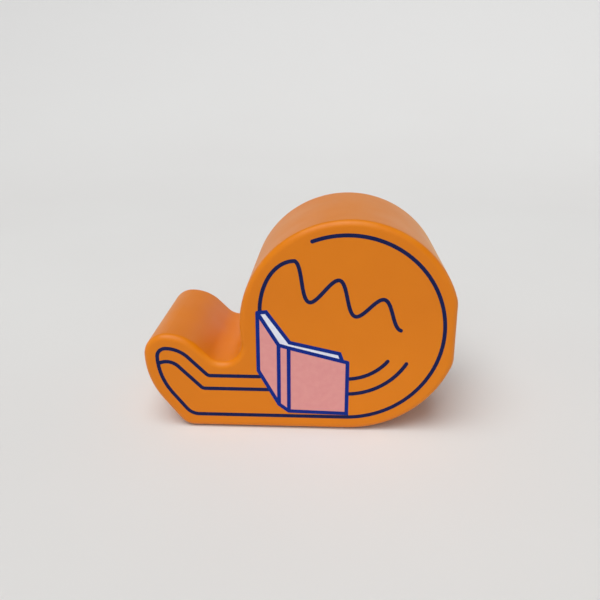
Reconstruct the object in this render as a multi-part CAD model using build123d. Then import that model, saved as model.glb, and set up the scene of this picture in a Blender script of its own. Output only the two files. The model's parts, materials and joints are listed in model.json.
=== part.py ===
from build123d import *
import os
from math import acos, asin, atan2, cos, degrees, hypot, radians, sin, sqrt

# Weighted desk tape dispenser: a closed, snail-shaped shell with a round drum and a low nose.
# Millimetres. X runs along the body with the nose at -X, Y is depth with the plain front face
# at -Y and the loading side at +Y, Z is up. The origin is the middle of the footprint, on the desk.

# ---- Side profile of the shell, in X and Z
DEPTH = 63.0            # overall thickness, front face to back rim
FOOT_GAP = 0.4          # height of the shell above the desk; the base pad fills it
DRUM_R = 45.5           # the drum's upper arc, which runs from the flat to the valley
DRUM_X, DRUM_Z = 21.3, 46.9
FOOT_R, FOOT_X = 46.8, 20.9         # its lower right arc, from the base up to the flat
HALF_LENGTH = 65.2      # nose tip at -X, flat on the drum at +X
FLAT_CORNER_R = 12.0    # softening where the flat meets the drum
VALLEY_R, VALLEY_Z = 8.2, 38.7      # finger valley between drum and nose
NOSE_TOP = 42.9
NOSE_TIP_R = 9.8
NOSE_HUMP_R = 19.0
NOSE_UNDER_R, NOSE_UNDER_ANGLE = 33.3, 38.0
BASE_CORNER_R = 8.0
EDGE_R = 2.6            # rounding of the front and back edges

# ---- Shell construction
WALL = 3.0
FRONT_WALL = 3.0
FRONT = -DEPTH / 2
BACK = DEPTH / 2
INSIDE = FRONT + FRONT_WALL         # inner surface of the front wall
PLATE_OUT = BACK - 0.3              # rear plate sits just below the rim
PLATE_T = 2.4
PLATE_IN = PLATE_OUT - PLATE_T
PLATE_GAP = 0.1
BOSS_R, PILOT_SLACK = 3.6, 0.03
PLATE_SCREW_RING = 39.2
PLATE_SCREW_SITES = [(-45.5, 29.0), (-19.5, 30.0)] + [
    (DRUM_X + PLATE_SCREW_RING * cos(radians(a)), DRUM_Z + PLATE_SCREW_RING * sin(radians(a)))
    for a in (135, 45, -45)
]

# ---- Screws: head radius, head height, shank radius, length
PLATE_SCREW = (2.8, 1.5, 1.5, 12.0)
SPINDLE_SCREW = (2.6, 1.8, 1.4, 8.0)
RETAINING_SCREW = (3.6, 2.2, 2.0, 10.0)
BALLAST_SCREW = (3.2, 2.2, 1.6, 18.0)
CUTTER_SCREW = (1.9, 1.1, 1.0, 9.5)

# ---- Spindle, hub and a 19 mm x 33 m roll on a 25 mm core
TAPE_W = 19.0
CORE_IN_R, CORE_OUT_R, ROLL_R = 12.7, 14.2, 28.5
SPINDLE_R, RUNNING_GAP = 4.0, 0.05
SPINDLE_SEAT = INSIDE + 6.0         # top of the moulded seat the spindle is screwed to
SPINDLE_FLANGE_R, SPINDLE_FLANGE_T = 14.0, 3.0
SPINDLE_SHOULDER_R = 6.5
SPINDLE_SCREW_RING = 10.3
HUB_BACK, HUB_END = -14.0, 12.5     # the hub's bearing boss, along Y
HUB_FLANGE = (-12.0, -10.0)
HUB_BARREL_END = 10.5
HUB_R, HUB_WALL, HUB_RIB = 12.4, 1.8, 0.25
HUB_BOSS_R, HUB_FLANGE_R = 6.8, 17.5
AXIAL_GAP = 0.1
WASHER_T = 0.6
RETAINER_R, RETAINER_T = 6.4, 1.0

# ---- Tape slot through the drum's flank, and the tape's parked end
SLOT_W, SLOT_TOP = 23.0, 61.0
SILL_X, SILL_Z = DRUM_X - DRUM_R + WALL, 50.5
TAPE_T, ROLL_CLEARANCE = 0.15, 0.3

# ---- Cutter in the nose tip
TEETH_X, TEETH_Z = -HALF_LENGTH + 0.05, 36.0
CUTTER_TILT = 14.0                  # the blade's top leans outwards
BLADE_W, BLADE_H, BLADE_T = 24.0, 10.6, 0.5
TOOTH_PITCH, TOOTH_H = 1.5, 1.1
POCKET_W, POCKET_X, POCKET_BOTTOM, POCKET_TOP = 26.4, -57.5, 23.7, 36.4
HOLDER_TOP, HOLDER_GAP = 34.6, 0.1
CUTTER_SCREW_Y, CUTTER_SCREW_DOWN = 7.5, 7.6

# ---- Loading door, hinged at the right of the round opening
DOOR_T, DOOR_R, DOOR_GAP = 2.2, 33.7, 0.3
DOOR_IN = PLATE_OUT - DOOR_T
HINGE_X, HINGE_Y = DRUM_X + 36.0, PLATE_OUT - 2.0
BARREL_R, BARREL_HALF, PIN_R = 2.0, 9.0, 1.0
HINGE_RELIEF = 0.8                  # extra room beside the hinge, where the door's edge swings past
LUG_END = 14.0                      # from the drum's centre height to the lugs' outer ends
LUG_LEFT, LUG_RIGHT, LUG_IN = DRUM_X + 33.0, DRUM_X + 39.1, PLATE_OUT - 4.8
EAR_LEFT, EAR_LOW, EAR_HIGH, EAR_CORNER_R = -11.0, DRUM_Z - DOOR_R, 22.6, 3.0
SCOOP_LEFT, SCOOP_R = -19.0, 4.2    # finger scoop beside the ear
CATCH_X, CATCH_Z = -5.6, (EAR_LOW + EAR_HIGH) / 2
MAGNET_R, MAGNET_T = 3.0, 1.6
STRIKE_R, STRIKE_T = 3.5, 1.2
CATCH_BLOCK_T = 4.0

# ---- Ballast and base pad
BALLAST_GAP = 0.8
BALLAST_FROM, BALLAST_TO = SPINDLE_SEAT, 22.5
BALLAST_NOSE = (-49.0, -24.0, 22.0)     # X from, X to, top Z of the tall part under the nose
BALLAST_LOW_RIGHT, BALLAST_LOW_TOP = 46.0, 14.0
BALLAST_SITES = [(-38.0, 13.0), (DRUM_X, 9.0)]
BALLAST_SEAT_DEPTH = 12.5               # block left under each screw head
BALLAST_BOSS_R = 5.0
PAD_LEFT, PAD_RIGHT, PAD_HALF_W, PAD_CORNER_R = -40.0, 19.0, 24.0, 4.0
PAD_T = 1.2


# ---- Helpers: profiles are drawn flat as X and Z, then given a depth along Y

def slab(face, y_from, y_to):
    """A profile in X and Z, extruded from one depth to another."""
    return extrude(Plane.XZ.offset(-y_from) * face, amount=y_to - y_from, dir=(0, 1, 0))


def rod(x, z, radius, y_from, y_to):
    """A round bar along Y."""
    return slab(Pos(x, z) * Circle(radius), y_from, y_to)


def ring(x, z, outer, inner, y_from, y_to):
    """A round tube along Y."""
    return slab(Pos(x, z) * (Circle(outer) - Circle(inner)), y_from, y_to)


def area(x_from, x_to, z_from, z_to):
    """A rectangle in X and Z from its limits."""
    middle = Pos((x_from + x_to) / 2, (z_from + z_to) / 2)
    return middle * Rectangle(x_to - x_from, z_to - z_from)


def block(x_from, x_to, z_from, z_to, y_from, y_to):
    """A box from its limits."""
    return slab(area(x_from, x_to, z_from, z_to), y_from, y_to)


def screw(size):
    """A socket-head screw at the origin: head seat at 0, head towards +Z, shank towards -Z."""
    head_r, head_h, shank_r, length = size
    tip = shank_r * 0.6
    head = extrude(Circle(head_r), head_h)
    head = fillet(head.edges().sort_by(Axis.Z)[-1], head_h * 0.3)
    socket = extrude(Plane.XY.offset(head_h) * RegularPolygon(head_r * 0.5, 6), -head_h * 0.6)
    shank = extrude(Circle(shank_r), -length)
    shank = chamfer(shank.edges().sort_by(Axis.Z)[0], shank_r - tip)
    return head - socket + shank


def screw_from_back(size, x, z, seat_y):
    """A screw driven along -Y, its head seated at the given depth."""
    return Plane(origin=(x, seat_y, z), x_dir=(1, 0, 0), z_dir=(0, 1, 0)) * screw(size)


def profile(inset=0.0):
    """The side profile, or the same profile moved inwards: tangent arcs and short lines."""
    drum_r, foot_r, valley_r = DRUM_R - inset, FOOT_R - inset, VALLEY_R + inset
    hump_r, tip_r, under_r = NOSE_HUMP_R - inset, NOSE_TIP_R - inset, NOSE_UNDER_R - inset
    flat_x, base_z = HALF_LENGTH - inset, FOOT_GAP + inset
    hump_x = NOSE_TIP_R - HALF_LENGTH
    drum, foot = Vector(DRUM_X, DRUM_Z), Vector(FOOT_X, FOOT_GAP + FOOT_R)
    valley = Vector(DRUM_X - sqrt((DRUM_R + VALLEY_R) ** 2 - (DRUM_Z - VALLEY_Z) ** 2), VALLEY_Z)
    hump = Vector(hump_x, NOSE_TOP - NOSE_HUMP_R)
    tip = Vector(hump_x, NOSE_TOP - NOSE_TIP_R)
    under = Vector(NOSE_UNDER_R - HALF_LENGTH, NOSE_TOP - NOSE_TIP_R)

    flat_high = degrees(acos((flat_x - drum.X) / drum_r))
    flat_low = degrees(acos((flat_x - foot.X) / foot_r))
    flank_angle = degrees(atan2(valley.Y - drum.Y, valley.X - drum.X)) % 360
    across = valley - hump
    slope = atan2(across.Y, across.X) - asin((NOSE_HUMP_R + VALLEY_R) / hypot(across.X, across.Y))
    normal = degrees(slope) + 90
    flank_to_slope = normal - 180 - (flank_angle - 180)

    lower = CenterArc(foot, foot_r, -90, 90 - flat_low)
    upper = CenterArc(drum, drum_r, flat_high, flank_angle - flat_high)
    hollow = CenterArc(valley, valley_r, flank_angle - 180, flank_to_slope)
    top = CenterArc(hump, hump_r, normal, 90 - normal)
    front = CenterArc(tip, tip_r, 90, 90)
    belly = CenterArc(under, under_r, 180, NOSE_UNDER_ANGLE)
    drop = (belly @ 1).Y - base_z
    turn = radians(NOSE_UNDER_ANGLE)
    heel = Vector((belly @ 1).X + drop * sin(turn) / cos(turn), base_z)
    edges = [
        lower, Line(lower @ 1, upper @ 0), upper, hollow, Line(hollow @ 1, top @ 0),
        top, front, belly, Line(belly @ 1, heel), Line(heel, lower @ 0),
    ]
    face = Face(Wire(edges))
    at_flat = [v for v in face.vertices() if abs(v.X - flat_x) < 1e-4]
    face = face.fillet_2d(FLAT_CORNER_R - inset, at_flat)
    at_heel = [v for v in face.vertices() if (Vector(v) - heel).length < 1e-4]
    return face.fillet_2d(BASE_CORNER_R - inset, at_heel)


def cutter_plane():
    """The blade's outer face: origin at the middle of the teeth, local Y up the blade."""
    tilt = radians(CUTTER_TILT)
    return Plane(origin=(TEETH_X, 0, TEETH_Z), x_dir=(0, -1, 0), z_dir=(-cos(tilt), 0, -sin(tilt)))


def cutter_screw_sites():
    """Screw seats on the blade, as planes facing out of the nose."""
    return [
        cutter_plane() * Pos(y, -CUTTER_SCREW_DOWN, 0) for y in (-CUTTER_SCREW_Y, CUTTER_SCREW_Y)
    ]


def sill_angle():
    """Slope of the tape from the slot's sill up to a full roll, in degrees."""
    dx, dz = DRUM_X - SILL_X, DRUM_Z - SILL_Z
    return degrees(atan2(dz, dx) + asin((ROLL_R + ROLL_CLEARANCE) / hypot(dx, dz)))


# ---- The shell and what is moulded with it

def slot_tool():
    """The tape slot's opening; its lower face slopes with the tape."""
    slope = radians(sill_angle())
    run_out, run_in = 6.0, 7.0
    low = (SILL_X - run_out, SILL_Z - run_out * sin(slope) / cos(slope))
    high = (SILL_X + run_in, SILL_Z + run_in * sin(slope) / cos(slope))
    side = make_face(Polyline(low, high, (high[0], SLOT_TOP), (low[0], SLOT_TOP), close=True))
    tool = slab(side, -SLOT_W / 2, SLOT_W / 2)
    return fillet(tool.edges().filter_by(Axis.X), 2.0)


def cutter_pocket():
    """The notch in the nose tip that takes the cutter."""
    left = -HALF_LENGTH - 5
    return block(left, POCKET_X, POCKET_BOTTOM, POCKET_TOP, -POCKET_W / 2, POCKET_W / 2)


def pad_recess_face(grow):
    """The base pad's outline, in X and Y."""
    middle = Pos((PAD_LEFT + PAD_RIGHT) / 2, 0)
    size = (PAD_RIGHT - PAD_LEFT + 2 * grow, 2 * (PAD_HALF_W + grow))
    return middle * RectangleRounded(*size, PAD_CORNER_R + grow)


def main_shell():
    outer = slab(profile(), FRONT, BACK)
    rims = outer.faces().sort_by(Axis.Y)
    outer = fillet(rims[0].edges() + rims[-1].edges(), EDGE_R)
    shell = outer - slab(profile(WALL), INSIDE, BACK)

    for x, z in PLATE_SCREW_SITES:
        shell += slab(Pos(x, z) * Circle(BOSS_R) & profile(WALL / 2), INSIDE - 1, PLATE_IN)
    shell += ring(DRUM_X, DRUM_Z, SPINDLE_FLANGE_R + 0.5, 6.0, INSIDE - 1, SPINDLE_SEAT)
    for x, z in BALLAST_SITES:
        shell += slab(Pos(x, z) * Circle(BALLAST_BOSS_R) & profile(WALL / 2), INSIDE - 1, BALLAST_FROM)
    nose = profile(WALL / 2) & area(-HALF_LENGTH, -50.5, 18.0, NOSE_TOP)
    shell += slab(nose, -POCKET_W / 2 - 4, POCKET_W / 2 + 4)
    for angle in range(30, 360, 60):
        spoke = Pos(DRUM_X, DRUM_Z) * Rot(0, 0, angle) * Pos(27.5, 0) * Rectangle(30, 2.0)
        shell += slab(spoke & profile(WALL / 2), INSIDE - 1, INSIDE + 3.5)

    shell -= cutter_pocket()
    shell -= slot_tool()
    shell -= extrude(pad_recess_face(PLATE_GAP), PAD_T + PLATE_GAP)
    for x, z in PLATE_SCREW_SITES:
        shell -= rod(x, z, PLATE_SCREW[2] + PILOT_SLACK, PLATE_IN - PLATE_SCREW[3], PLATE_IN)
    for x, z in spindle_screw_sites():
        shell -= rod(x, z, SPINDLE_SCREW[2] + PILOT_SLACK, SPINDLE_SEAT - 5.5, SPINDLE_SEAT)
    for x, z in BALLAST_SITES:
        shell -= rod(x, z, BALLAST_SCREW[2] + PILOT_SLACK, BALLAST_FROM - 6.0, BALLAST_FROM)
    for site in cutter_screw_sites():
        shell -= site * Cylinder(CUTTER_SCREW[2] + PILOT_SLACK, 2 * CUTTER_SCREW[3] + 1)
    return shell


def rear_plate():
    plate = slab(profile(WALL + PLATE_GAP), PLATE_IN, PLATE_OUT)
    floor = area(SCOOP_LEFT - 2, 3.0, EAR_LOW - 3, EAR_HIGH + 3)
    plate += slab(floor, PLATE_IN - CATCH_BLOCK_T, PLATE_IN)
    for side in (-1, 1):
        z_near, z_far = (DRUM_Z + side * (BARREL_HALF + DOOR_GAP), DRUM_Z + side * LUG_END)
        lug = area(LUG_LEFT, LUG_RIGHT, min(z_near, z_far), max(z_near, z_far))
        plate += slab(lug, LUG_IN, PLATE_OUT)

    opening_r = DOOR_R + DOOR_GAP
    for x in (DRUM_X, DRUM_X + HINGE_RELIEF):
        plate -= rod(x, DRUM_Z, opening_r, PLATE_IN - CATCH_BLOCK_T - 1, PLATE_OUT)
    ear = ear_face(DOOR_GAP)
    scoop = area(SCOOP_LEFT + SCOOP_R, EAR_LEFT + 2, CATCH_Z - SCOOP_R, CATCH_Z + SCOOP_R)
    scoop += Pos(SCOOP_LEFT + SCOOP_R, CATCH_Z) * Circle(SCOOP_R)
    plate -= slab(ear + scoop, PLATE_IN, PLATE_OUT)
    tab_half = BARREL_HALF + DOOR_GAP
    tab = area(DRUM_X + 25, HINGE_X + BARREL_R + DOOR_GAP, DRUM_Z - tab_half, DRUM_Z + tab_half)
    plate -= slab(tab, LUG_IN - 1, PLATE_OUT)

    plate -= rod(CATCH_X, CATCH_Z, STRIKE_R + PILOT_SLACK, PLATE_IN - STRIKE_T, PLATE_IN)
    plate -= Pos(HINGE_X, HINGE_Y, DRUM_Z) * Cylinder(PIN_R + PILOT_SLACK, 2 * (LUG_END - 0.3))
    for x, z in PLATE_SCREW_SITES:
        plate -= rod(x, z, PLATE_SCREW[2] + 0.2, PLATE_IN, PLATE_OUT)
        plate -= rod(x, z, PLATE_SCREW[0] + 0.2, PLATE_OUT - PLATE_SCREW[1], PLATE_OUT)
    return plate


def ear_face(grow):
    """The door's ear, over the magnetic catch."""
    left, right = EAR_LEFT - grow, DRUM_X
    low, high = EAR_LOW - grow, EAR_HIGH + grow
    face = area(left, right, low, high)
    corners = face.vertices().group_by(Axis.X)[0]
    return fillet(corners, EAR_CORNER_R + grow)


def loading_door():
    tab = area(DRUM_X, HINGE_X, DRUM_Z - BARREL_HALF, DRUM_Z + BARREL_HALF)
    outline = Pos(DRUM_X, DRUM_Z) * Circle(DOOR_R) + ear_face(0) + tab
    door = slab(outline, DOOR_IN, PLATE_OUT)
    door += Pos(HINGE_X, HINGE_Y, DRUM_Z) * Cylinder(BARREL_R, 2 * BARREL_HALF)
    for radius in (16.0, 27.0):
        door += ring(DRUM_X, DRUM_Z, radius, radius - 1.6, DOOR_IN - 1.8, DOOR_IN + 0.5)
    for angle in range(0, 360, 60):
        rib = Pos(DRUM_X, DRUM_Z) * Rot(0, 0, angle) * Pos(20.7, 0) * Rectangle(11.4, 1.6)
        door += slab(rib, DOOR_IN - 1.8, DOOR_IN + 0.5)
    door -= rod(CATCH_X, CATCH_Z, MAGNET_R + PILOT_SLACK, DOOR_IN, DOOR_IN + MAGNET_T)
    door -= Pos(HINGE_X, HINGE_Y, DRUM_Z) * Cylinder(PIN_R + RUNNING_GAP, 2 * BARREL_HALF + 1)
    return door


# ---- Spindle and reel

def spindle_screw_sites():
    angles = [radians(a) for a in (90, 210, 330)]
    ring_r = SPINDLE_SCREW_RING
    return [(DRUM_X + ring_r * cos(a), DRUM_Z + ring_r * sin(a)) for a in angles]


def spindle():
    flange_top = SPINDLE_SEAT + SPINDLE_FLANGE_T
    shoulder = HUB_BACK - AXIAL_GAP - WASHER_T
    post = rod(DRUM_X, DRUM_Z, SPINDLE_FLANGE_R, SPINDLE_SEAT, flange_top)
    post += rod(DRUM_X, DRUM_Z, SPINDLE_SHOULDER_R, flange_top, shoulder)
    post += rod(DRUM_X, DRUM_Z, SPINDLE_R, shoulder, HUB_END + AXIAL_GAP)
    for x, z in spindle_screw_sites():
        post -= rod(x, z, SPINDLE_SCREW[2] + 0.15, SPINDLE_SEAT, flange_top)
    bore_from = HUB_END + AXIAL_GAP + RETAINER_T - RETAINING_SCREW[3]
    post -= rod(DRUM_X, DRUM_Z, RETAINING_SCREW[2] + PILOT_SLACK, bore_from, HUB_END + 1)
    return post


def drag_washer():
    back = HUB_BACK - AXIAL_GAP
    return ring(DRUM_X, DRUM_Z, SPINDLE_SHOULDER_R - 0.2, SPINDLE_R + 0.1, back - WASHER_T, back)


def retaining_washer():
    start = HUB_END + AXIAL_GAP
    return ring(DRUM_X, DRUM_Z, RETAINER_R, RETAINING_SCREW[2] + 0.15, start, start + RETAINER_T)


def hub():
    bore = SPINDLE_R + RUNNING_GAP
    body = ring(DRUM_X, DRUM_Z, HUB_BOSS_R, bore, HUB_BACK, HUB_END)
    body += ring(DRUM_X, DRUM_Z, HUB_R, HUB_R - HUB_WALL, HUB_FLANGE[0], HUB_BARREL_END)
    body += ring(DRUM_X, DRUM_Z, HUB_FLANGE_R, HUB_BOSS_R - 1, *HUB_FLANGE)
    web_len = HUB_R - HUB_BOSS_R
    for angle in range(0, 360, 60):
        turn = Pos(DRUM_X, DRUM_Z) * Rot(0, 0, angle)
        web = turn * Pos((HUB_R + HUB_BOSS_R) / 2 - 0.6, 0) * Rectangle(web_len, 1.6)
        body += slab(web, HUB_FLANGE[0], HUB_BARREL_END - 2)
        rib = turn * Pos(HUB_R, 0) * Rectangle(2 * HUB_RIB, 1.2)
        body += slab(rib, HUB_FLANGE[1] - 0.5, HUB_BARREL_END - 1)
    return body


def tape_core():
    return ring(DRUM_X, DRUM_Z, CORE_OUT_R, CORE_IN_R, -TAPE_W / 2, TAPE_W / 2)


def tape_roll():
    return ring(DRUM_X, DRUM_Z, ROLL_R, CORE_OUT_R + 0.02, -TAPE_W / 2, TAPE_W / 2)


def tape_leader():
    """The free end of the tape, from the top of the roll down to the slot's sill."""
    slope = radians(sill_angle())
    along, away = Vector(cos(slope), sin(slope)), Vector(-sin(slope), cos(slope))
    start = Vector(SILL_X, SILL_Z) - along * 2.5 + away * 0.05
    tangent = Vector(DRUM_X, DRUM_Z) + away * (ROLL_R + ROLL_CLEARANCE)
    strip = Polyline(
        start, tangent, tangent + away * TAPE_T, start + away * TAPE_T, close=True
    )
    return slab(make_face(strip), -TAPE_W / 2, TAPE_W / 2)


# ---- Cutter

def cutter_blade():
    half, count = BLADE_W / 2, int(BLADE_W / TOOTH_PITCH)
    outline = [(-half, -BLADE_H), (half, -BLADE_H), (half, -TOOTH_H)]
    for i in range(count):
        right = half - i * TOOTH_PITCH
        outline += [(right - TOOTH_PITCH / 2, 0), (right - TOOTH_PITCH, -TOOTH_H)]
    face = make_face(Polyline(*outline, close=True))
    for y in (-CUTTER_SCREW_Y, CUTTER_SCREW_Y):
        face -= Pos(y, -CUTTER_SCREW_DOWN) * Circle(CUTTER_SCREW[2] + 0.1)
    return cutter_plane() * extrude(face, -BLADE_T)


def cutter_holder():
    """A wedge that fills the pocket behind the blade."""
    tilt = radians(CUTTER_TILT)
    low, high = POCKET_BOTTOM + HOLDER_GAP, HOLDER_TOP

    def seat_x(z):
        return TEETH_X + BLADE_T / cos(tilt) + (TEETH_Z - z) * sin(tilt) / cos(tilt)

    right = POCKET_X - HOLDER_GAP
    side = Polyline((seat_x(low), low), (right, low), (right, high), (seat_x(high), high), close=True)
    half = POCKET_W / 2 - HOLDER_GAP
    holder = slab(make_face(side), -half, half)
    for site in cutter_screw_sites():
        holder -= site * Cylinder(CUTTER_SCREW[2] + PILOT_SLACK, 3 * CUTTER_SCREW[3])
    return holder


def cutter_screws():
    return [site * screw(CUTTER_SCREW) for site in cutter_screw_sites()]


# ---- Ballast, base pad and small parts

def ballast_block():
    left, right, top = BALLAST_NOSE
    side = area(left, right, 0, top)
    side += area(left - 8, right, 0, top - 7)
    side += area(left, BALLAST_LOW_RIGHT, 0, BALLAST_LOW_TOP)
    body = slab(side & profile(WALL + BALLAST_GAP), BALLAST_FROM, BALLAST_TO)
    seat = BALLAST_FROM + BALLAST_SEAT_DEPTH
    for x, z in BALLAST_SITES:
        body -= rod(x, z, BALLAST_SCREW[2] + 0.2, BALLAST_FROM, BALLAST_TO)
        body -= rod(x, z, BALLAST_SCREW[0] + 0.6, seat, BALLAST_TO)
    return body


def base_pad():
    return extrude(pad_recess_face(0), PAD_T)


def hinge_pin():
    return Pos(HINGE_X, HINGE_Y, DRUM_Z) * Cylinder(PIN_R, 2 * (LUG_END - 0.6))


def group(solids):
    """Identical fasteners, kept as separate solids in one node."""
    return Compound(children=list(solids))


parts = {
    "main_shell": main_shell(),
    "rear_plate": rear_plate(),
    "rear_plate_screws": group(
        screw_from_back(PLATE_SCREW, x, z, PLATE_OUT - PLATE_SCREW[1]) for x, z in PLATE_SCREW_SITES
    ),
    "loading_door": loading_door(),
    "door_hinge_pin": hinge_pin(),
    "catch_magnet": rod(CATCH_X, CATCH_Z, MAGNET_R, DOOR_IN, DOOR_IN + MAGNET_T),
    "catch_strike": rod(CATCH_X, CATCH_Z, STRIKE_R, PLATE_IN - STRIKE_T, PLATE_IN),
    "spindle": spindle(),
    "spindle_screws": group(
        screw_from_back(SPINDLE_SCREW, x, z, SPINDLE_SEAT + SPINDLE_FLANGE_T)
        for x, z in spindle_screw_sites()
    ),
    "drag_washer": drag_washer(),
    "hub": hub(),
    "retaining_washer": retaining_washer(),
    "retaining_screw": screw_from_back(
        RETAINING_SCREW, DRUM_X, DRUM_Z, HUB_END + AXIAL_GAP + RETAINER_T
    ),
    "tape_core": tape_core(),
    "tape_roll": tape_roll(),
    "tape_leader": tape_leader(),
    "cutter_holder": cutter_holder(),
    "cutter_blade": cutter_blade(),
    "cutter_screws": group(cutter_screws()),
    "ballast_block": ballast_block(),
    "ballast_screws": group(
        screw_from_back(BALLAST_SCREW, x, z, BALLAST_FROM + BALLAST_SEAT_DEPTH)
        for x, z in BALLAST_SITES
    ),
    "base_pad": base_pad(),
}

os.makedirs("parts", exist_ok=True)
for name, shape in parts.items():
    export_step(shape, f"parts/{name}.step")
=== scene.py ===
import json
from math import atan2, cos, degrees, pi, radians, sin

import bmesh
import bpy
from mathutils import Euler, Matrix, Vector


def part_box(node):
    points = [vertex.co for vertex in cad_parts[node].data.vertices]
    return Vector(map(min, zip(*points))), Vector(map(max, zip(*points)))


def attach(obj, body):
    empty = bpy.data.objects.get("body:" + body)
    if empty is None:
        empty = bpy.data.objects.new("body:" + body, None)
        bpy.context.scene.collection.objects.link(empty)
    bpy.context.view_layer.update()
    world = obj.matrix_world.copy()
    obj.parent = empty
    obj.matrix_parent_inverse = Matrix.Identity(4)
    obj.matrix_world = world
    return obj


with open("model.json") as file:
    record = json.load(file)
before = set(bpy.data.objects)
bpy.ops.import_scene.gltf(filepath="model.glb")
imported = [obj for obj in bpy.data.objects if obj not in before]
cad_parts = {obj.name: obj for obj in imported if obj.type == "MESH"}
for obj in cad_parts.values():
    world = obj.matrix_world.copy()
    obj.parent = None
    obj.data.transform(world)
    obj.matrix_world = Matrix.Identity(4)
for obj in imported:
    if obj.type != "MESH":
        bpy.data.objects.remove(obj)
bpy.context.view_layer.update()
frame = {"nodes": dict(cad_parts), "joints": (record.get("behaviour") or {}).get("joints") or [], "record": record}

MM = 0.001
EDGE_ROUND = 2.6 * MM               # the rounding of the shell's front and back edges

# ---- Places read from the frame, in metres
SHELL_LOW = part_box("main_shell")[0]
FRONT_Y = SHELL_LOW.y
REEL_X, REEL_Z = next(
    (j["pos_m"][0], j["pos_m"][2]) for j in frame["joints"] if j["name"] == "reel_spin"
)

# ---- The shell's nose in profile, in millimetres: the printed stripes run parallel to it
NOSE_X = SHELL_LOW.x / MM
TIP_R, HUMP_R, UNDER_R = 9.8, 19.0, 33.3            # rounds at the tip, over the top and underneath
NOSE_TOP = 42.9
VALLEY_FLOOR = 30.8
UNDER_TURN = radians(38)            # slope of the nose's underside, away from upright
NOSE_SLOPE = radians(45)            # slope of the nose's back, down into the finger valley
HUMP = Vector((NOSE_X + TIP_R, NOSE_TOP - HUMP_R))
TIP = Vector((NOSE_X + TIP_R, NOSE_TOP - TIP_R))
UNDER = Vector((NOSE_X + UNDER_R, NOSE_TOP - TIP_R))
RING = Vector((REEL_X / MM - 1.0, REEL_Z / MM - 0.4))       # middle of the printed ring
RING_R = 40.0


# ---------------------------------------------------------------- materials

class Graph:
    """A node material, built up one node at a time."""

    def __init__(self, name, **surface):
        self.material = bpy.data.materials.new(name)
        self.material.use_nodes = True
        self.tree = self.material.node_tree
        self.shader = self.tree.nodes["Principled BSDF"]
        for key, value in surface.items():
            self.put(self.shader, key.replace("_", " "), value)
        self.place = self.add("ShaderNodeTexCoord").outputs["Object"]

    def put(self, node, key, value):
        """Set an input, or link it where the value is another node's output."""
        socket = node.inputs[key]
        if isinstance(value, bpy.types.NodeSocket):
            self.tree.links.new(value, socket)
        else:
            socket.default_value = value

    def add(self, kind, inputs=None, **settings):
        node = self.tree.nodes.new(kind)
        for key, value in settings.items():
            setattr(node, key, value)
        for key, value in (inputs or {}).items():
            self.put(node, key, value)
        return node

    def noise(self, scale, detail=3.0, roughness=0.5, stretch=(1, 1, 1)):
        """A noise value over the object, with its scale in waves per metre."""
        moved = self.add("ShaderNodeMapping", {"Vector": self.place, "Scale": stretch})
        node = self.add("ShaderNodeTexNoise", {
            "Vector": moved.outputs["Vector"], "Scale": scale, "Detail": detail, "Roughness": roughness,
        })
        return node.outputs["Fac"]

    def remap(self, value, low, high, to_low=0.0, to_high=1.0):
        """The value's range from low to high, spread over another range and held at its ends."""
        node = self.add("ShaderNodeMapRange", {
            "Value": value, "From Min": low, "From Max": high, "To Min": to_low, "To Max": to_high,
        })
        return node.outputs["Result"]

    def math(self, operation, first, second=0.0):
        node = self.add("ShaderNodeMath", operation=operation)
        self.put(node, 0, first)
        self.put(node, 1, second)
        return node.outputs["Value"]

    def mix(self, factor, first, second):
        """A colour between two colours."""
        node = self.add("ShaderNodeMix", data_type="RGBA")
        for index, value in ((0, factor), (6, first), (7, second)):
            self.put(node, index, value)
        return node.outputs[2]

    def radius(self, centre_x, centre_z):
        """Distance from an axis along Y."""
        parts = self.add("ShaderNodeSeparateXYZ", {"Vector": self.place}).outputs
        dx = self.math("SUBTRACT", parts["X"], centre_x)
        dz = self.math("SUBTRACT", parts["Z"], centre_z)
        squares = self.math("ADD", self.math("MULTIPLY", dx, dx), self.math("MULTIPLY", dz, dz))
        return self.math("SQRT", squares)

    def bump(self, height, distance, strength=1.0):
        """A bump of the given depth in metres, added over any bump that is there."""
        node = self.add("ShaderNodeBump", {"Height": height, "Distance": distance, "Strength": strength})
        normal = self.shader.inputs["Normal"]
        if normal.is_linked:
            self.tree.links.new(normal.links[0].from_socket, node.inputs["Normal"])
        self.tree.links.new(node.outputs["Normal"], normal)

    def surface(self, **surface):
        for key, value in surface.items():
            self.put(self.shader, key.replace("_", " "), value)


def colour(red, green, blue):
    """An sRGB colour, 0 to 255, as the linear colour that shaders take."""
    def linear(c):
        c /= 255
        return c / 12.92 if c <= 0.04045 else ((c + 0.055) / 1.055) ** 2.4
    return (linear(red), linear(green), linear(blue), 1.0)


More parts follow.
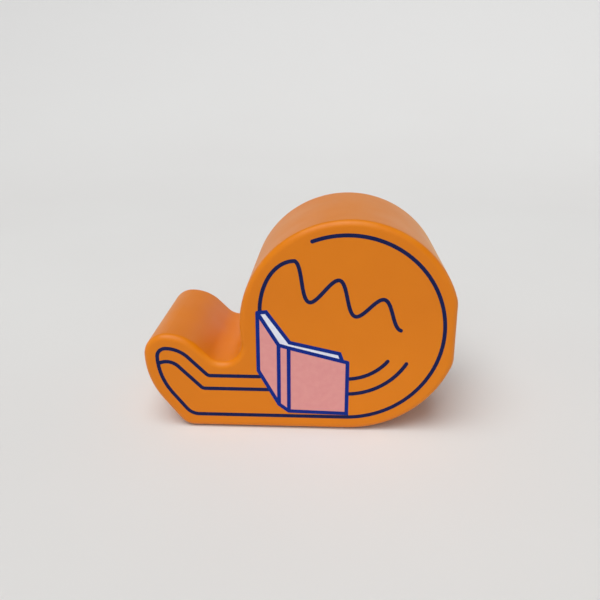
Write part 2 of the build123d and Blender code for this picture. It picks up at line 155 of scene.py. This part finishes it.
def soft_touch(name, low, high):
    """Satin, slightly rubbery coating: fine peel, broad tone changes, and a patchy lighter orange on the front and
    back edge rounds, partly rubbed wear and partly a painted highlight.
    """
    g = Graph(name, Specular_IOR_Level=0.3, Sheen_Weight=0.22, Sheen_Roughness=0.3)
    g.surface(Sheen_Tint=colour(255, 226, 150))
    base = g.mix(g.remap(g.noise(22, 2), 0.3, 0.7), low, high)
    depth = g.math("ABSOLUTE", g.add("ShaderNodeSeparateXYZ", {"Vector": g.place}).outputs["Y"])
    half_depth = -FRONT_Y
    wear_and_highlight_peak = half_depth - 0.4 * EDGE_ROUND
    inner = g.remap(depth, half_depth - EDGE_ROUND, wear_and_highlight_peak)
    outer = g.remap(depth, half_depth, wear_and_highlight_peak)
    patchy = g.remap(g.noise(110, 4), 0.45, 0.7, 0.0, 0.35)
    # patchy lighter orange on the edge rounds: partly rubbed wear, partly a painted highlight along the rims
    wear_and_highlight = g.math("MULTIPLY", g.math("MULTIPLY", inner, outer), patchy)
    base = g.mix(wear_and_highlight, base, colour(236, 150, 52))
    gloss = g.remap(g.noise(60, 4), 0.25, 0.75, 0.36, 0.46)
    g.surface(Base_Color=base, Roughness=gloss)
    g.bump(g.noise(2200, 3), 0.00002, 0.5)
    g.bump(g.noise(120, 2), 0.00012, 0.1)
    return g.material


def ink(name, shade, worn):
    """Screen-printed ink: even and satin, with a dusting of pinholes."""
    g = Graph(name)
    patch = g.remap(g.noise(420, 4), 0.3, 0.7)
    pinholes = g.remap(g.noise(5200, 1), 0.66, 0.74)
    g.surface(Base_Color=g.mix(g.math("MULTIPLY", pinholes, 0.35), g.mix(patch, shade, worn), worn))
    g.surface(Roughness=g.remap(g.noise(900, 3), 0.3, 0.7, 0.38, 0.5), Specular_IOR_Level=0.15)
    g.bump(g.noise(3000, 2), 0.00001, 0.4)
    return g.material


def metal(name, shade, dark, rough, grain=(1, 1, 1)):
    """Plated or turned metal with fine directional grain."""
    g = Graph(name, Metallic=1.0)
    streak = g.noise(1800, 4, 0.6, grain)
    g.surface(Base_Color=g.mix(g.remap(g.noise(180, 3), 0.35, 0.7), shade, dark))
    g.surface(Roughness=g.remap(streak, 0.3, 0.7, rough, rough + 0.16))
    g.bump(streak, 0.00001, 0.5)
    return g.material


def moulded(name, low, high, rough=0.45, grain=2600):
    """Moulded plastic with a fine spark-eroded texture."""
    g = Graph(name, Specular_IOR_Level=0.5)
    g.surface(Base_Color=g.mix(g.remap(g.noise(40, 3), 0.3, 0.7), low, high))
    g.surface(Roughness=g.remap(g.noise(300, 3), 0.3, 0.7, rough - 0.05, rough + 0.08))
    g.bump(g.noise(grain, 2), 0.00003, 0.5)
    return g.material


def wound_tape(name):
    """Clear film wound on itself: warm, paler towards the rim, with fine rings on its ends."""
    g = Graph(name, Coat_Weight=0.35, Coat_Roughness=0.12, Transmission_Weight=0.22, IOR=1.46)
    pale_from, rim = 25.5 * MM, 28.5 * MM
    radius = g.radius(REEL_X, REEL_Z)
    turns = g.add("ShaderNodeCombineXYZ", {"X": radius}).outputs["Vector"]
    fine = g.add("ShaderNodeTexNoise", {"Vector": turns, "Scale": 9000, "Detail": 3.0}).outputs["Fac"]
    broad = g.add("ShaderNodeTexNoise", {"Vector": turns, "Scale": 900, "Detail": 2.0}).outputs["Fac"]
    rings = g.math("ADD", g.math("MULTIPLY", fine, 0.6), g.math("MULTIPLY", broad, 0.4))
    inner = g.mix(g.remap(rings, 0.38, 0.62), colour(196, 178, 132), colour(232, 222, 190))
    g.surface(Base_Color=g.mix(g.remap(radius, pale_from, rim), inner, colour(238, 232, 208)))
    g.surface(Roughness=g.remap(rings, 0.4, 0.6, 0.2, 0.38))
    g.bump(rings, 0.00006, 0.5)
    return g.material


def paper_tube(name):
    """Pressed paper with fibres that run along the tube."""
    g = Graph(name, Specular_IOR_Level=0.25)
    fibres = g.noise(900, 5, 0.65, (1, 0.25, 1))
    g.surface(Base_Color=g.mix(g.remap(fibres, 0.35, 0.65), colour(198, 180, 150), colour(230, 218, 194)))
    g.surface(Roughness=g.remap(fibres, 0.3, 0.7, 0.75, 0.92))
    g.bump(fibres, 0.00004, 0.7)
    return g.material


def felt(name):
    """Pressed wool: dark, fibrous and without gloss."""
    g = Graph(name, Specular_IOR_Level=0.1, Sheen_Weight=0.6, Sheen_Roughness=0.5)
    fibres = g.noise(2600, 6, 0.75)
    g.surface(Base_Color=g.mix(g.remap(fibres, 0.3, 0.7), colour(40, 40, 44), colour(98, 98, 104)))
    g.surface(Roughness=g.remap(fibres, 0.3, 0.7, 0.85, 1.0))
    g.bump(fibres, 0.00012, 0.9)
    return g.material


def cast_iron(name):
    """Rough sand-cast skin with a few spots of rust."""
    g = Graph(name, Metallic=0.7)
    skin = g.noise(700, 6, 0.7)
    rust = g.remap(g.noise(90, 5, 0.6), 0.58, 0.72, 0.0, 0.6)
    base = g.mix(g.remap(skin, 0.3, 0.7), colour(44, 44, 46), colour(92, 92, 94))
    g.surface(Base_Color=g.mix(rust, base, colour(104, 62, 40)))
    g.surface(Roughness=g.remap(skin, 0.3, 0.7, 0.5, 0.75))
    g.bump(skin, 0.00015, 0.8)
    return g.material


def foam_pad(name):
    """Closed-cell foam rubber: a dense field of small cells."""
    g = Graph(name, Specular_IOR_Level=0.3)
    cells = g.add("ShaderNodeTexVoronoi", {"Vector": g.place, "Scale": 1700.0}).outputs["Distance"]
    dust = g.remap(g.noise(60, 5), 0.45, 0.8, 0.0, 0.35)
    base = g.mix(g.remap(cells, 0.0, 0.7), colour(22, 22, 24), colour(52, 52, 55))
    g.surface(Base_Color=g.mix(dust, base, colour(120, 114, 106)))
    g.surface(Roughness=g.remap(cells, 0.0, 0.7, 0.75, 0.9))
    g.bump(cells, 0.0001, 0.8)
    return g.material


MATERIALS = {
    "shell_orange": soft_touch("shell_orange", colour(221, 122, 0), colour(227, 128, 0)),
    "plate_orange": moulded("plate_orange", colour(216, 116, 2), colour(222, 122, 4), 0.5, 3000),
    "steel": metal("zinc_steel", colour(205, 205, 208), colour(160, 162, 168), 0.26),
    "nickel": metal("nickel_plate", colour(222, 220, 212), colour(196, 194, 188), 0.14),
    "aluminium": metal("turned_aluminium", colour(214, 214, 218), colour(186, 187, 192), 0.28, (1, 6, 1)),
    "felt": felt("pressed_felt"),
    "hub_navy": moulded("hub_navy", colour(24, 34, 84), colour(32, 44, 100), 0.42),
    "cardboard": paper_tube("paper_tube"),
    "tape": wound_tape("wound_tape"),
    "holder_navy": moulded("holder_navy", colour(22, 30, 76), colour(30, 40, 92), 0.5),
    "blade_steel": metal("blade_steel", colour(226, 227, 230), colour(196, 198, 203), 0.18, (1, 0.08, 1)),
    "iron": cast_iron("cast_iron"),
    "pad_rubber": foam_pad("foam_pad"),
}
INK_NAVY = ink("ink_navy", colour(9, 22, 74), colour(15, 30, 82))
INK_COBALT = ink("ink_cobalt", colour(0, 36, 130), colour(4, 44, 138))
INK_PINK = ink("ink_pink", colour(224, 150, 148), colour(228, 157, 153))
INK_WHITE = ink("ink_white", colour(236, 240, 252), colour(222, 226, 240))


def dress_cad_nodes():
    """Each CAD node takes the material of its slot."""
    slots = {part["node"]: part["material_slot"] for part in frame["record"]["subparts"]}
    for name, piece in frame["nodes"].items():
        piece.data.materials.clear()
        piece.data.materials.append(MATERIALS[slots[name]])


# ---------------------------------------------------------------- decoration
# Flat printed shapes on the front face, each a thin film. Paths are lists of 2-D points in
# millimetres, X to the right and Z up. All of it is plain ornament: stripes, arcs, a wave, a card.

STROKE = 1.6                        # width of a line
FILL_LIFT, LINE_LIFT = 0.03, 0.06   # how far areas and lines stand off the face
LIFT_STEP = 0.006                   # added for each layer, so that overlapping films share no plane
STEP = radians(3)                   # turn from one point of an arc to the next
STEPS_PER_WAVE = 36


def arc(centre, radius, start, end):
    """Points on an arc; the angles are in degrees and may run either way."""
    count = max(2, int(abs(radians(end - start)) / STEP))
    angles = [radians(start + (end - start) * i / count) for i in range(count + 1)]
    return [centre + radius * Vector((cos(a), sin(a))) for a in angles]


def bend(before, corner, after, radius):
    """The round of the given radius in the corner between two straight runs."""
    one, two = (before - corner).normalized(), (after - corner).normalized()
    half = one.angle(two) / 2
    centre = corner + (one + two).normalized() * radius / sin(half)
    start = corner + one * radius * cos(half) / sin(half) - centre
    turn = start.angle_signed(corner + two * radius * cos(half) / sin(half) - centre)
    at = degrees(atan2(start.y, start.x))
    return arc(centre, radius, at, at - degrees(turn))


def wave(start, end, first_height, last_height, periods, slant):
    """A wave along a sloping line that starts on a crest and dies down a little."""
    count = int(STEPS_PER_WAVE * periods)
    points = []
    for i in range(count + 1):
        t = i / count
        swing = (first_height + (last_height - first_height) * t) * cos(2 * pi * periods * t)
        points.append(start.lerp(end, t) + Vector((slant * swing, swing)))
    return points


def sides_of(path):
    """The two edges of a stroke, mitred at its corners."""
    left, right = [], []
    for i, at in enumerate(path):
        starts, ends = path[max(0, i - 1):i + 1], path[max(1, i):i + 2]
        runs = [(end - start).normalized() for start, end in zip(starts, ends)]
        normal = sum((Vector((-run.y, run.x)) for run in runs), Vector((0, 0))).normalized()
        reach = STROKE / 2 / normal.dot(Vector((-runs[0].y, runs[0].x)))
        left.append(at + normal * reach)
        right.append(at - normal * reach)
    return left, right


class Film:
    """A thin closed solid on the front face, from just inside the face to the given lift."""

    def __init__(self, lift):
        self.mesh = bmesh.new()
        self.offsets = (-FILL_LIFT * MM, lift * MM)

    def verts(self, point):
        """The two ends of a line through a point, inside the face and at the lift."""
        return [self.mesh.verts.new((point.x * MM, FRONT_Y - off, point.y * MM)) for off in self.offsets]

    def outline(self, posts, walls=None):
        """Cover the shape between the posts, with a wall between each of the chosen neighbours."""
        for level in (0, 1):
            self.mesh.faces.new([post[level] for post in posts])
        for i in walls if walls is not None else range(len(posts)):
            one, two = posts[i], posts[(i + 1) % len(posts)]
            self.mesh.faces.new((one[0], two[0], two[1], one[1]))

    def piece(self, name, material):
        bmesh.ops.recalc_face_normals(self.mesh, faces=self.mesh.faces)
        data = bpy.data.meshes.new(name)
        self.mesh.to_mesh(data)
        self.mesh.free()
        data.materials.append(material)
        piece = bpy.data.objects.new(name, data)
        bpy.context.scene.collection.objects.link(piece)
        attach(piece, "root")


def stroke(name, path, material, layer=0):
    """A line of ink with round ends."""
    film = Film(LINE_LIFT + layer * LIFT_STEP)
    left, right = ([film.verts(p) for p in side] for side in sides_of(path))
    for i in range(len(path) - 1):
        film.outline([left[i], left[i + 1], right[i + 1], right[i]], (0, 2))
    ends = ((path[0], path[1], left[0], right[0]), (path[-1], path[-2], right[-1], left[-1]))
    for at, toward, first, last in ends:
        away = at - toward
        start = degrees(atan2(away.y, away.x))
        between = [film.verts(p) for p in arc(at, STROKE / 2, start - 90, start + 90)[1:-1]]
        posts = [first, *between, last]
        film.outline(posts, range(len(posts) - 1))
    film.piece(name, material)


def patch(name, corners, material, layer=0):
    """A flat area of ink inside straight edges."""
    film = Film(FILL_LIFT + layer * LIFT_STEP)
    film.outline([film.verts(p) for p in corners])
    film.piece(name, material)


def nose_run(inset, over, right_end):
    """Over the nose, straight down its back and level to the right, at an even distance inside it."""
    corner_round = 2.5
    level = VALLEY_FLOOR - inset
    hump = arc(HUMP, HUMP_R - inset, over, 90 - degrees(NOSE_SLOPE))
    drop = hump[-1].y - level
    corner = Vector((hump[-1].x + drop * cos(NOSE_SLOPE) / sin(NOSE_SLOPE), level))
    end = Vector((right_end, level))
    return hump + bend(hump[-1], corner, end, corner_round) + [end]


def print_stripes():
    """A ring on the drum that runs on round the foot and the nose, and a second stripe inside it."""
    inset, heel_round = 6.0, 7.0
    outer_end, inner_end = -16.0, -12.2     # where the stripes pass under the card
    ring_start, inner_start = 111, 121      # in degrees round the ring and round the hump
    base_z = RING.y - RING_R
    ring = arc(RING, RING_R, ring_start, -90)
    belly = arc(UNDER, UNDER_R - inset, 180 + degrees(UNDER_TURN), 180)
    drop = belly[0].y - base_z
    heel = Vector((belly[0].x + drop * sin(UNDER_TURN) / cos(UNDER_TURN), base_z))
    tip = arc(TIP, TIP_R - inset, 180, 90)
    outer = ring + bend(ring[-1], heel, belly[0], heel_round) + belly + tip[1:]
    stroke("stripe_outer", outer + nose_run(inset, 90, outer_end)[1:], INK_NAVY)
    stroke("stripe_inner", nose_run(2 * inset, inner_start, inner_end), INK_NAVY, 1)


def print_wave():
    """A quarter turn that rises from the card and runs on as a wave across the drum."""
    foot, crest = Vector((-15.4, 54.0)), Vector((-1.0, 75.8))
    start, end = Vector((-2.8, 68.6)), Vector((43.6, 51.4))
    first_height, last_height, periods, slant = 7.2, 4.6, 2.5, 0.25
    rise = [
        Vector((crest.x + (foot.x - crest.x) * cos(a), foot.y + (crest.y - foot.y) * sin(a)))
        for a in (i * STEP for i in range(30))
    ]
    path = rise + wave(start, end, first_height, last_height, periods, slant)
    stroke("wave", path, INK_NAVY, 2)


def print_arcs():
    """Two short arcs on the drum, one inside the other, that end at the card's right edge."""
    for name, radius, low, high in (("arc_small", 22.0, -86, -38), ("arc_large", 29.0, -88, -30)):
        stroke(name, arc(RING, radius, low, high), INK_NAVY, 3)


def print_card():
    """A plain folded card: two pink flaps either side of a narrow spine, and a white strip on top."""
    left_low, left_high = Vector((-16.4, 27.6)), Vector((-16.4, 53.6))
    spine_low, spine_high = Vector((-7.8, 12.0)), Vector((-7.8, 39.4))
    fold_low, fold_high = Vector((-3.6, 8.8)), Vector((-3.6, 38.2))
    right_low, right_high = Vector((21.0, 8.2)), Vector((21.0, 32.0))
    strip = [left_high, spine_high, fold_high, Vector((18.8, 32.6))]
    strip += [Vector((17.6, 36.0)), Vector((-3.2, 40.6)), Vector((-12.8, 54.0))]
    patch("card_left", [left_low, spine_low, spine_high, left_high], INK_PINK)
    patch("card_spine", [spine_low, fold_low, fold_high, spine_high], INK_PINK)
    patch("card_right", [fold_low, right_low, right_high, fold_high], INK_PINK)
    patch("card_strip", strip, INK_WHITE, 1)
    outline = [left_high, left_low, spine_low, fold_low, right_low, right_high]
    edges = {
        "card_outline": outline,
        "card_top_edge": [left_high, spine_high, fold_high, right_high],
        "card_strip_edge": strip[3:] + strip[:1],
        "card_spine_fold": [spine_low, spine_high],
        "card_front_fold": [fold_low, fold_high],
    }
    for layer, (name, path) in enumerate(edges.items(), start=4):
        stroke(name, path, INK_COBALT, layer)


# ---------------------------------------------------------------- studio

def build_camera():
    """A camera close in front, aimed down at the object from just right of square-on."""
    down, left = radians(19.28), radians(2.70)
    data = bpy.data.cameras.new("camera")
    data.sensor_width, data.lens = 36.0, 40.8
    camera = bpy.data.objects.new("camera", data)
    camera.location = (13.4 * MM, -291.3 * MM, 150.4 * MM)
    camera.rotation_euler = Euler((pi / 2 - down, 0.0, left))
    bpy.context.scene.collection.objects.link(camera)
    bpy.context.scene.camera = camera


def build_floor():
    """A pale paper bowl: flat under the object, curving up all round it, with painted shade that darkens it
    outwards.
    """
    g = Graph("paper_sweep", Specular_IOR_Level=0.1, Roughness=0.9)
    tone = g.remap(g.noise(3, 3), 0.3, 0.7)
    paper = g.mix(tone, colour(226, 225, 224), colour(229, 229, 228))
    painted_shade_distance = g.add("ShaderNodeVectorMath", {0: g.place}, operation="LENGTH").outputs["Value"]
    # painted shade: the paper darkens with distance from the middle, as where less light falls on the rising
    # backdrop
    g.surface(Base_Color=g.mix(g.remap(painted_shade_distance, 0.2, 1.5), paper, colour(211, 211, 211)))
    flat, curve, rise, sides, steps = 0.5, 1.6, radians(60), 96, 24
    slopes = [rise * i / steps for i in range(steps + 1)]
    profile = [(flat + curve * sin(a), curve * (1 - cos(a))) for a in slopes]
    mesh = bmesh.new()
    turns = [2 * pi * i / sides for i in range(sides)]
    rows = [[mesh.verts.new((r * cos(a), r * sin(a), z)) for a in turns] for r, z in profile]
    mesh.faces.new(rows[0])
    for inner, outer in zip(rows, rows[1:]):
        for i in range(sides):
            j = (i + 1) % sides
            mesh.faces.new((inner[i], outer[i], outer[j], inner[j])).smooth = True
    data = bpy.data.meshes.new("sweep")
    mesh.to_mesh(data)
    mesh.free()
    data.materials.append(g.material)
    floor = bpy.data.objects.new("sweep", data)
    bpy.context.scene.collection.objects.link(floor)


def soft_sun(name, towards, energy, spread, tint=(1, 1, 1)):
    """A distant light with a disc that is wide in degrees, so that its shadows are soft."""
    data = bpy.data.lights.new(name, "SUN")
    data.energy, data.angle, data.color = energy, radians(spread), tint
    light = bpy.data.objects.new(name, data)
    light.rotation_euler = Vector(towards).to_track_quat("-Z", "Y").to_euler()
    bpy.context.scene.collection.objects.link(light)


def build_lights():
    """A soft light from overhead, a second one low behind the camera, and an even fill."""
    spread, fill = 50, 0.13
    soft_sun("key", (0.18, 0.32, -0.92), 2.2, spread, (1.0, 0.995, 0.985))
    soft_sun("front", (0.06, 0.9, -0.42), 1.05, spread)
    world = bpy.data.worlds.new("studio")
    world.use_nodes = True
    backdrop = world.node_tree.nodes["Background"]
    backdrop.inputs["Color"].default_value = (0.93, 0.935, 0.94, 1.0)
    backdrop.inputs["Strength"].default_value = fill
    bpy.context.scene.world = world
    bpy.context.scene.view_settings.view_transform = "Standard"


build_camera()
dress_cad_nodes()
print_stripes()
print_wave()
print_arcs()
print_card()
build_floor()
build_lights()
